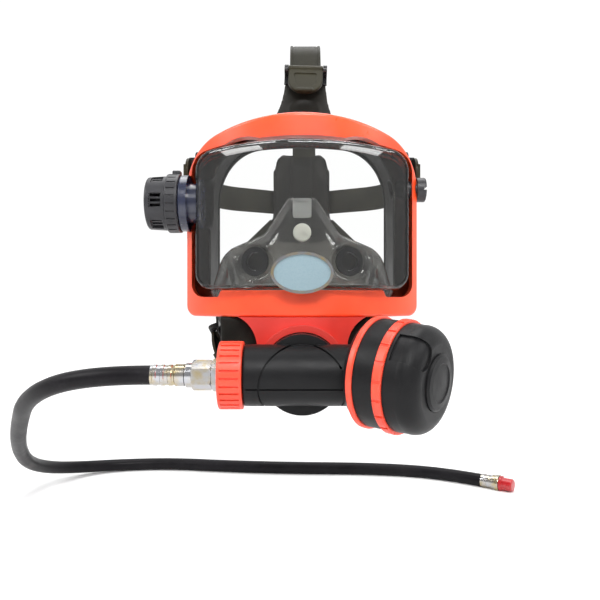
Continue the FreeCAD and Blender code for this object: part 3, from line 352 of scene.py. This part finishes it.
def rubber(name, colour, greyer, rough, grain=1100.0):
    """Rubber: matt, with faint bloom in patches and a soft skin."""
    n = Nodes(name)
    bloom = n.noise(35.0, detail=6.0, rough=0.6)
    dust = n.noise(420.0, detail=3.0)
    patches = n.maths("MULTIPLY", n.spread(bloom, 0.0, 1.0, 0.4, 0.7), n.spread(dust, 0.3, 1.0))
    base = n.mix(patches, colour, greyer)
    normal = n.bump(n.noise(grain, detail=4.0, rough=0.6), 0.06 * MM, 0.5)
    return n.set(colour=base, rough=n.spread(bloom, rough - 0.05, rough + 0.12), normal=normal, sheen=0.02,
                 specular=0.12)


def metal(name, colour, tinted, rough, stretch=(1.0, 1.0, 1.0)):
    """Plated metal: turned marks and faint tarnish."""
    n = Nodes(name)
    mapping = n.add("ShaderNodeMapping")
    mapping.inputs["Scale"].default_value = stretch
    n.link(n.place, mapping.inputs["Vector"])
    turned = n.noise(900.0, detail=3.0, rough=0.6, place=mapping.outputs["Vector"])
    tarnish = n.noise(90.0, detail=5.0)
    base = n.mix(n.spread(tarnish, 0.0, 1.0, 0.4, 0.68), colour, tinted)
    normal = n.bump(turned, 0.015 * MM, 0.5)
    return n.set(colour=base, metal=1.0, rough=n.spread(tarnish, rough, rough + 0.12), normal=normal)


def clear_plastic(name, colour, rough, ior=1.49, clear=1.0):
    """Polycarbonate: clear, with faint moulding waves."""
    n = Nodes(name)
    normal = n.bump(n.noise(22.0, detail=1.0), 0.12 * MM, 0.15)
    return n.set(colour=colour, rough=rough, clear=clear, ior=ior, normal=normal)


def smoked_silicone(name):
    """Smoky translucent silicone, glossy, and cloudier in patches."""
    n = Nodes(name)
    cloud = n.noise(38.0, detail=4.0)
    base = n.mix(n.spread(cloud, 0.0, 1.0), (0.135, 0.130, 0.112), (0.050, 0.049, 0.044))
    flow = n.noise(70.0, detail=2.0)
    normal = n.bump(n.noise(240.0, detail=3.0), 0.04 * MM, 0.35, n.bump(flow, 0.5 * MM, 0.35))
    return n.set(colour=base, rough=n.spread(cloud, 0.04, 0.15), clear=0.78, ior=1.41, normal=normal,
                 coat=0.5, coat_rough=0.06)


def badge_print(name):
    """A plain blue-grey plate under a clear coat."""
    n = Nodes(name)
    foil = n.noise(1400.0, detail=2.0)
    base = n.mix(foil, (0.26, 0.36, 0.40), (0.18, 0.26, 0.30))
    return n.set(colour=base, rough=n.spread(foil, 0.22, 0.34), coat=0.6, coat_rough=0.05,
                 normal=n.bump(foil, 0.01 * MM, 0.3))


ORANGE = moulded_plastic("frame_orange", (0.92, 0.085, 0.022), (0.80, 0.062, 0.016), 0.33,
                         coat=0.15, worn=(0.95, 0.22, 0.12))
# The chin bracket is the frame's orange with painted shade: a darker, redder copy of it, for the bracket that
# sits back behind the lower band.
SHADED_ORANGE = moulded_plastic("bracket_orange_painted_shade", (0.66, 0.034, 0.022), (0.54, 0.026, 0.018), 0.35, coat=0.1)
RING = moulded_plastic("ring_orange", (0.90, 0.070, 0.030), (0.80, 0.05, 0.022), 0.38,
                       worn=(0.95, 0.25, 0.15))
BLACK = moulded_plastic("case_black", (0.0060, 0.0060, 0.0066), (0.0100, 0.0100, 0.0108), 0.40,
                        grain=1300.0, depth=0.14 * MM, worn=(0.030, 0.030, 0.031), shine=0.16)
GREY_BLACK = moulded_plastic("valve_black", (0.020, 0.020, 0.023), (0.030, 0.030, 0.034), 0.40,
                             grain=1500.0, depth=0.08 * MM, worn=(0.09, 0.09, 0.095), shine=0.4)
SMOOTH_BLACK = moulded_plastic("smooth_black", (0.0075, 0.0075, 0.0080), (0.012, 0.012, 0.013), 0.26,
                               grain=700.0, depth=0.015 * MM, shine=0.4)
NECK_BLUE = moulded_plastic("neck_blue_black", (0.012, 0.016, 0.040), (0.018, 0.022, 0.050), 0.22,
                            grain=700.0, depth=0.015 * MM, coat=0.4)
BUCKLE = moulded_plastic("buckle_plastic", (0.020, 0.0185, 0.0105), (0.032, 0.029, 0.0165), 0.42,
                         grain=1300.0, depth=0.05 * MM, worn=(0.08, 0.075, 0.055), shine=0.15)
RUBBER = rubber("seal_rubber", (0.0075, 0.0070, 0.0056), (0.021, 0.0195, 0.0155), 0.46)
WEBBING = rubber("strap_rubber", (0.0150, 0.0140, 0.0092), (0.030, 0.0280, 0.0185), 0.52, grain=1600.0)
HOSE_RUBBER = rubber("hose_cover", (0.0060, 0.0054, 0.0066), (0.015, 0.0135, 0.0160), 0.36, grain=1900.0)
CHROME = metal("plated_brass", (0.44, 0.445, 0.47), (0.46, 0.36, 0.16), 0.15, stretch=(0.15, 2.0, 2.0))
STEEL = metal("steel", (0.62, 0.62, 0.62), (0.50, 0.49, 0.47), 0.28)
BRASS = metal("brass", (0.78, 0.60, 0.30), (0.62, 0.45, 0.20), 0.25)
CLEAR = clear_plastic("lens_clear", (0.985, 0.99, 0.985), 0.0)
WINDOW = clear_plastic("window_clear", (0.84, 0.85, 0.82), 0.12, ior=1.55, clear=0.7)
SILICONE = smoked_silicone("smoked_silicone")
FROST = moulded_plastic("frosted_disc", (0.62, 0.63, 0.55), (0.50, 0.51, 0.44), 0.45, grain=2200.0)
BADGE = badge_print("badge_print")
CAP_RED = moulded_plastic("cap_red", (0.50, 0.012, 0.018), (0.40, 0.01, 0.014), 0.28, coat=0.4)

LOOKS = {
    ORANGE: ["upper_frame", "lower_frame"],
    SHADED_ORANGE: ["chin_bracket"],
    RING: ["head_ring", "lock_ring", "adjust_knob"],
    BLACK: ["inner_valve_seats", "side_valve_shutter", "port_ring", "exhaust_cover", "regulator_body",
            "head_housing", "purge_cover", "purge_button"],
    GREY_BLACK: ["side_valve_knob", "side_valve_collar", "port_plug"],
    SMOOTH_BLACK: [place + "_buckle" for place in BUCKLES],
    NECK_BLUE: ["side_valve_neck"],
    BUCKLE: [place + "_lever" for place in BUCKLES],
    RUBBER: ["inner_valves", "port_o_ring", "exhaust_valve", "diaphragm"],
    CHROME: ["inlet_fitting", "swivel_nut", "hose_sleeve", "hose_end_sleeve", "hose_end_fitting",
             "badge_rim"],
    STEEL: ["frame_screws", "purge_spring", "demand_lever", "lever_pin", "poppet_spring"],
    BRASS: ["valve_tube", "poppet"],
    CLEAR: ["lens"],
    WINDOW: ["nose_window"],
    FROST: ["vent_disc"],
    BADGE: ["badge"],
    CAP_RED: ["dust_cap"],
}


def paint(piece, material):
    piece.data.materials.clear()
    piece.data.materials.append(material)


for material, names in LOOKS.items():
    for name in names:
        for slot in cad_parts[name].material_slots:
            slot.material = material
paint(hose, HOSE_RUBBER)


# ---------------------------------------------------------------- helpers for soft pieces

def new_piece(name, data):
    piece = bpy.data.objects.new(name, data)
    bpy.context.collection.objects.link(piece)
    return piece


def settle(piece):
    """Turns a piece's modifiers into its mesh."""
    depsgraph = bpy.context.evaluated_depsgraph_get()
    data = bpy.data.meshes.new_from_object(piece.evaluated_get(depsgraph))
    piece.modifiers.clear()
    piece.data = data
    smooth(piece)


def smooth(piece):
    for face in piece.data.polygons:
        face.use_smooth = True
    piece.data.set_sharp_from_angle(angle=math.radians(SHARP_TURN))


def moved(piece, move):
    """Moves each of a piece's vertices by what the function gives for its place."""
    for vertex in piece.data.vertices:
        vertex.co += move(vertex.co)


def hump(value, centre, width):
    """A smooth rise to 1 at the centre that fades out within about twice the width."""
    return math.exp(-((value - centre) / width) ** 2)


def raised(value, shape):
    """The height that a (height, middle, width) relief has at a value."""
    height, centre, width = shape
    return height * hump(value, centre, width)


def soft_copy(name, nodes, voxel, rounds):
    """One closed skin over CAD solids, with every edge softened as moulded rubber is."""
    whole = bmesh.new()
    for node in nodes:
        whole.from_mesh(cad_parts[node].data)
    bmesh.ops.remove_doubles(whole, verts=whole.verts, dist=0.01 * MM)
    data = bpy.data.meshes.new(name)
    whole.to_mesh(data)
    whole.free()
    piece = new_piece(name, data)
    remesh = piece.modifiers.new("skin", "REMESH")
    remesh.mode = "VOXEL"
    remesh.voxel_size = voxel
    soften = piece.modifiers.new("soften", "SMOOTH")
    soften.factor = 0.5
    soften.iterations = rounds
    settle(piece)
    return piece


def finish_piece(piece, material, nodes):
    """Paints a piece, fixes it to the mask and hides the CAD nodes it stands for."""
    paint(piece, material)
    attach(piece, MASK)
    if nodes:
        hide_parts(*nodes)


def swept(name, path, section, across, closed=False):
    """A mesh of a section carried along a path; the section's x follows the direction across."""
    data = bpy.data.meshes.new(name)
    mesh = bmesh.new()
    count = len(path)
    rings = []
    for i, at in enumerate(path):
        before = path[i - 1] if (closed or i > 0) else path[i]
        after = path[(i + 1) % count] if (closed or i < count - 1) else path[i]
        along = (after - before).normalized()
        side = (across - along * across.dot(along)).normalized()
        out = side.cross(along).normalized()
        rings.append([mesh.verts.new(at + side * x + out * h) for x, h in section(i, count)])
    size = len(rings[0])
    spans = count if closed else count - 1
    for i in range(spans):
        here, there = rings[i], rings[(i + 1) % count]
        for k in range(size):
            mesh.faces.new((here[k], here[(k + 1) % size], there[(k + 1) % size], there[k]))
    if not closed:
        mesh.faces.new(list(reversed(rings[0])))
        mesh.faces.new(rings[-1])
    bmesh.ops.recalc_face_normals(mesh, faces=mesh.faces)
    mesh.to_mesh(data)
    mesh.free()
    piece = new_piece(name, data)
    smooth(piece)
    return piece


def corner(before, point, after, radius):
    """The points of the arc that rounds a path's corner."""
    back = (before - point).normalized()
    ahead = (after - point).normalized()
    half = back.angle(ahead) / 2
    centre = point + (back + ahead).normalized() * (radius / math.sin(half))
    start = point + back * (radius / math.tan(half))
    end = point + ahead * (radius / math.tan(half))
    turn = (start - centre).angle(end - centre)
    axis = (start - centre).cross(end - centre).normalized()
    steps = max(2, round(radius * turn / CORNER_STEP))
    spots = []
    for i in range(steps + 1):
        spots.append(centre + Matrix.Rotation(turn * i / steps, 3, axis) @ (start - centre))
    return spots


def rounded_path(route, closed=False):
    """Points along straight runs and the arcs between them, from (point, radius) pairs."""
    spots = [Vector(spot) for spot, radius in route]
    count = len(spots)
    marks = [] if closed else [spots[0]]
    for i in range(0 if closed else 1, count if closed else count - 1):
        marks += corner(spots[i - 1], spots[i], spots[(i + 1) % count], route[i][1])
    if closed:
        marks.append(marks[0])
    else:
        marks.append(spots[-1])
    path = [marks[0]]
    for at in marks[1:]:
        run = (at - path[-1]).length
        steps = max(1, round(run / STRAIGHT_STEP))
        here = path[-1]
        path += [here.lerp(at, (k + 1) / steps) for k in range(steps)]
    return path[:-1] if closed else path


# ---------------------------------------------------------------- seal

def buckle_frame(name):
    """A buckle's place and its directions: across the strap, along it and outward."""
    origin, along, outward = [Vector(v) for v in BUCKLES[name]]
    along.normalize()
    outward = (outward - along * outward.dot(along)).normalized()
    return origin * MM, along.cross(outward), along, outward


def tab_dish(at):
    """The hollow in the top tab, below its lever."""
    origin, across, along, outward = buckle_frame("top")
    place = at - origin
    a, b, h = place.dot(across) / MM, place.dot(along) / MM, place.dot(outward) / MM
    if abs(h) > TAB_SKIN or abs(a) > TAB_HALF or not TAB_RUN[0] < b < TAB_RUN[1]:
        return Vector((0, 0, 0))
    reach = math.hypot(a / DISH_HALVES[0], (b + DISH_BELOW) / DISH_HALVES[1])
    depth = DISH_DEPTH / (1 + math.exp((reach - 1.0) * DISH_STEEP))
    lip = DISH_LIP * hump(reach, *DISH_LIP_SHAPE)
    return outward * (lip - depth) * MM


def make_seal():
    seal = soft_copy("rubber_face_seal", SEAL_NODES, voxel=1.1 * MM, rounds=4)
    moved(seal, tab_dish)
    finish_piece(seal, RUBBER, SEAL_NODES)


def make_face_bead():
    """The rolled lip around the face opening, and the finer one inside it."""
    for name, grow, radius, lift in BEADS:
        w, low, high = OPENING_HALF + grow, OPENING_HEIGHTS[0] - grow, OPENING_HEIGHTS[1] + grow
        low_r, high_r = OPENING_RADII[0] + grow, OPENING_RADII[1] + grow
        flat = rounded_path([((-w, 0, low), low_r), ((-w, 0, high), high_r), ((w, 0, high), high_r),
                             ((w, 0, low), low_r)], closed=True)
        path = []
        for at in flat:
            x = max(-SEAL_CURVE_REACH, min(SEAL_CURVE_REACH, at.x))
            y = SEAL_CURVE_Y - math.sqrt(SEAL_CURVE_R ** 2 - x * x) + lift
            path.append(Vector((at.x, y, at.z)) * MM)
        turns = [math.tau * k / BEAD_SIDES for k in range(BEAD_SIDES)]
        ring = [(radius * MM * math.cos(turn), radius * MM * math.sin(turn)) for turn in turns]
        bead = swept(name, path, lambda i, count: ring, Vector((0, -1, 0)), closed=True)
        finish_piece(bead, RUBBER, [])


def from_outline(x, z):
    """How far a place on the inner mask is from its upper and side edges."""
    nearest = math.inf
    for (x0, z0), (x1, z1) in zip(MASK_OUTLINE, MASK_OUTLINE[1:]):
        run = (x1 - x0) ** 2 + (z1 - z0) ** 2
        share = max(0.0, min(1.0, ((x - x0) * (x1 - x0) + (z - z0) * (z1 - z0)) / run))
        nearest = min(nearest, math.hypot(x - x0 - share * (x1 - x0), z - z0 - share * (z1 - z0)))
    return nearest


def mask_relief(at):
    """The inner mask's moulded shape: a rolled rim, a channel inside it, cheeks and valve bosses."""
    x, y, z = at.x / MM, at.y / MM, at.z / MM
    if y > FRONT_FROM_Y:
        return Vector((0, 0, 0))
    rim = from_outline(x, z)
    by_valve = math.hypot(abs(x) - VALVE_AT[0], z - VALVE_AT[1])
    by_vent = math.hypot(x - VENT_AT[0], z - VENT_AT[1])
    by_window = math.hypot(x - WINDOW_AT[0], z - WINDOW_AT[1])
    calm = (1 - hump(by_valve, 0, VALVE_CALM)) * (1 - hump(by_vent, 0, BRIDGE_CALM))
    calm *= 1 - hump(by_window, 0, BRIDGE_CALM)
    rise = raised(rim, RIM_ROLL) + raised(rim, RIM_CHANNEL)
    from_cheek = math.hypot((abs(x) - CHEEK_AT[0]) / CHEEK_HALVES[0], (z - CHEEK_AT[1]) / CHEEK_HALVES[1])
    cheek = CHEEK_HEIGHT * hump(from_cheek, 0, 1.0)
    lean = (z - FOLD_FOOT) * FOLD_LEAN
    fold = sum(height * hump(abs(x) - middle - lean, 0, width) for height, middle, width in FOLDS)
    boss = raised(by_valve, VALVE_BOSS) * (1 - hump(rim, 0, RIM_CALM))
    return Vector((0, -MM * ((rise + cheek + fold) * calm + boss), 0))


def make_inner_mask():
    nose_cup = soft_copy("silicone_inner_mask", ["inner_mask"], voxel=0.8 * MM, rounds=3)
    moved(nose_cup, mask_relief)
    finish_piece(nose_cup, SILICONE, ["inner_mask"])


# ---------------------------------------------------------------- harness

def strap_section(ridge):
    """A strap's section: soft corners, a raised edge on each side and a rib height in between."""
    left = [(-x, h) for x, h in STRAP_EDGE]
    middle = [(x, STRAP_T + ridge) for x in RIB_PLACES]
    return left + middle + STRAP_EDGE[::-1]


def make_strap(node, buckle, route):
    """A moulded rubber strap along its route, with grip ribs on the length the buckle can take."""
    path = rounded_path(route)
    across = buckle_frame(buckle)[1]
    plane = (Vector(route[1][0]) - Vector(route[0][0])).cross(Vector(route[-1][0]) - Vector(route[0][0]))
    plane.normalize()
    if plane.dot(across) < 0:
        plane = -plane
    spots = [at * MM for at in path]
    travelled = [0.0]
    for i in range(1, len(path)):
        travelled.append(travelled[-1] + (path[i] - path[i - 1]).length)

    def section(i, count):
        on_rib = travelled[i] % RIB_STEP < RIB_STEP * RIB_SHARE
        ribbed = RIBS_FROM < travelled[i] < RIBS_TO
        ridge = RIB_RISE if ribbed and on_rib else PLAIN_DROP
        narrow = END_SHARE if i == 0 or i == count - 1 else 1.0
        return [(x * narrow * MM, h * MM) for x, h in strap_section(ridge)]

    strap = swept("rubber_" + node, spots, section, plane)
    finish_piece(strap, WEBBING, [node])


def strap_start(name):
    """Where a strap leaves its buckle, in mm, and in which direction."""
    origin, along, outward = [Vector(v) for v in BUCKLES[name]]
    along.normalize()
    return origin + outward.normalized() * STRAP_LIFT - along * BUCKLE_INSET, along


def make_straps():
    """The five straps. Each route is (point, corner radius) pairs in mm that end below the pad."""
    start, along = strap_start("top")
    along.x = 0
    make_strap("top_strap", "top", [
        (start, 0), (start + along * 43, 30), (Vector((start.x, 116, 156)), 62),
        (Vector((start.x, 170, 112)), 34), (Vector((start.x, 171, 80)), 0)])
    for word, side in (("right", -1), ("left", 1)):
        start, along = strap_start("temple_" + word)
        make_strap("temple_strap_" + word, "temple_" + word, [
            (start, 0), (Vector((side * 88.5, 66, start.z)), 200), (Vector((side * 82, 138, start.z)), 46),
            (Vector((side * 26, 172, start.z)), 0)])
        start, along = strap_start("lower_" + word)
        make_strap("lower_strap_" + word, "lower_" + word, [
            (start, 0), (start + along * 108, 72), (Vector((side * 27, 171, 14)), 0)])


def pad_groove(at):
    """The welded channels in the pad: two upright ones, and one around it near the edge."""
    x, z = at.x / MM, at.z / MM
    half = PAD_HALF - (z - PAD_LOW) * PAD_NARROWS / PAD_TALL
    edge = min(half - abs(x), z - PAD_LOW, PAD_LOW + PAD_TALL - z)
    depth = raised(edge, EDGE_GROOVE) + raised(abs(x), UPRIGHT_GROOVE) * (edge > GROOVE_FROM_EDGE)
    from_axis = Vector((0, at.y - PAD_CENTRE_Y * MM, 0))
    inward = (from_axis.normalized() + Vector((at.x, 0, 0)) * GROOVE_LEAN).normalized()
    outside = Vector((at.x, from_axis.y, 0)).length > PAD_RADIUS * MM
    return -inward * depth * MM * (1 if outside else -1)


def make_pad():
    """The head pad: a foam slab whose skin is blown up from a smaller start, then grooved."""
    pad = soft_copy("harness_pad", ["head_pad"], voxel=4.5 * MM, rounds=3)
    middle = Vector((0, PAD_BACK_Y, PAD_MIDDLE_Z)) * MM
    for vertex in pad.data.vertices:
        vertex.co = middle + (vertex.co - middle) * PAD_START_SHARE
    start = [vertex.co.copy() for vertex in pad.data.vertices]
    cloth = pad.modifiers.new("swell", "CLOTH")
    cloth.settings.use_pressure = True
    cloth.settings.uniform_pressure_force = PAD_PRESSURE
    cloth.settings.effector_weights.gravity = 0.0
    for moment in range(1, PAD_FRAMES + 1):
        bpy.context.scene.frame_set(moment)
    swollen = pad.evaluated_get(bpy.context.evaluated_depsgraph_get()).data
    places = [vertex.co.copy() for vertex in swollen.vertices]
    pad.modifiers.clear()
    bpy.context.scene.frame_set(1)
    for vertex, before, after in zip(pad.data.vertices, start, places):
        step = after - before
        vertex.co = before + step * min(1.0, PAD_SWELL / max(step.length, 1e-9))
    finer = pad.modifiers.new("finer", "SUBSURF")
    finer.levels = 2
    settle(pad)
    moved(pad, pad_groove)
    finish_piece(pad, RUBBER, ["head_pad"])


# ---------------------------------------------------------------- springs and diaphragm

def make_pressed(name, node, material):
    """A copy of a spring or rubber disc, with a mesh of its own."""
    piece = new_piece(name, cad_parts[node].data.copy())
    finish_piece(piece, material, [node])
    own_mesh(piece)


def make_pressed_pieces():
    make_pressed("purge_coil", "purge_spring", STEEL)
    make_pressed("rubber_diaphragm", "diaphragm", RUBBER)
    make_pressed("poppet_coil", "poppet_spring", STEEL)


make_seal()
make_face_bead()
make_inner_mask()
make_straps()
make_pad()
make_pressed_pieces()


# ---------------------------------------------------------------- studio

def make_floor():
    """A pale floor with a painted glow that brightens it away from the mask, so that it meets the backdrop
    without a line.
    """
    data = bpy.data.meshes.new("floor")
    corners = [(x * FLOOR_HALF, y * FLOOR_HALF, FLOOR_Z) for x, y in ((-1, -1), (1, -1), (1, 1), (-1, 1))]
    data.from_pydata(corners, [], [(0, 1, 2, 3)])
    floor = new_piece("floor", data)
    n = Nodes("glowing_floor_paper")
    tone = n.noise(3.0, detail=3.0)
    away = n.add("ShaderNodeVectorMath", operation="LENGTH")
    n.link(n.place, away.inputs[0])
    paper = n.set(colour=n.mix(tone, (0.86, 0.86, 0.86), (0.90, 0.90, 0.90)), rough=0.75)
    # Painted glow: the floor gives off white light, more of it far from the mask and behind it.
    n.shader.inputs["Emission Color"].default_value = (1.0, 1.0, 1.0, 1.0)
    parts = n.add("ShaderNodeSeparateXYZ")
    n.link(n.place, parts.inputs["Vector"])
    far = n.spread(away.outputs["Value"], *GLOW_AWAY)
    behind = n.spread(parts.outputs["Y"], *GLOW_BEHIND)
    n.link(n.maths("MULTIPLY", far, behind), n.shader.inputs["Emission Strength"])
    paint(floor, paper)


def make_light(name, place, wide, tall, power):
    data = bpy.data.lights.new(name, "AREA")
    data.shape = "RECTANGLE"
    data.size = wide
    data.size_y = tall
    data.energy = power
    light = bpy.data.objects.new(name, data)
    light.location = place
    light.rotation_euler = (Vector(LIGHTS_AIM) - Vector(place)).to_track_quat("-Z", "Y").to_euler()
    bpy.context.collection.objects.link(light)


def make_world():
    """A white backdrop behind the mask that turns to mid grey towards the front."""
    world = bpy.data.worlds.new("studio")
    world.use_nodes = True
    tree = world.node_tree
    background = tree.nodes["Background"]
    place = tree.nodes.new("ShaderNodeTexCoord")
    parts = tree.nodes.new("ShaderNodeSeparateXYZ")
    tree.links.new(place.outputs["Generated"], parts.inputs["Vector"])
    depth = tree.nodes.new("ShaderNodeMapRange")
    depth.interpolation_type = "SMOOTHSTEP"
    depth.inputs["From Min"].default_value = BACKDROP_TURNS[0]
    depth.inputs["From Max"].default_value = BACKDROP_TURNS[1]
    depth.inputs["To Min"].default_value = FRONT_GREY
    depth.inputs["To Max"].default_value = BACK_WHITE
    tree.links.new(parts.outputs["Y"], depth.inputs["Value"])
    tree.links.new(depth.outputs["Result"], background.inputs["Strength"])
    background.inputs["Color"].default_value = (1.0, 1.0, 1.0, 1.0)
    bpy.context.scene.world = world


def make_studio():
    make_floor()
    make_world()
    for light in LIGHTS:
        make_light(*light)
    bpy.context.scene.view_settings.view_transform = "Standard"


make_studio()
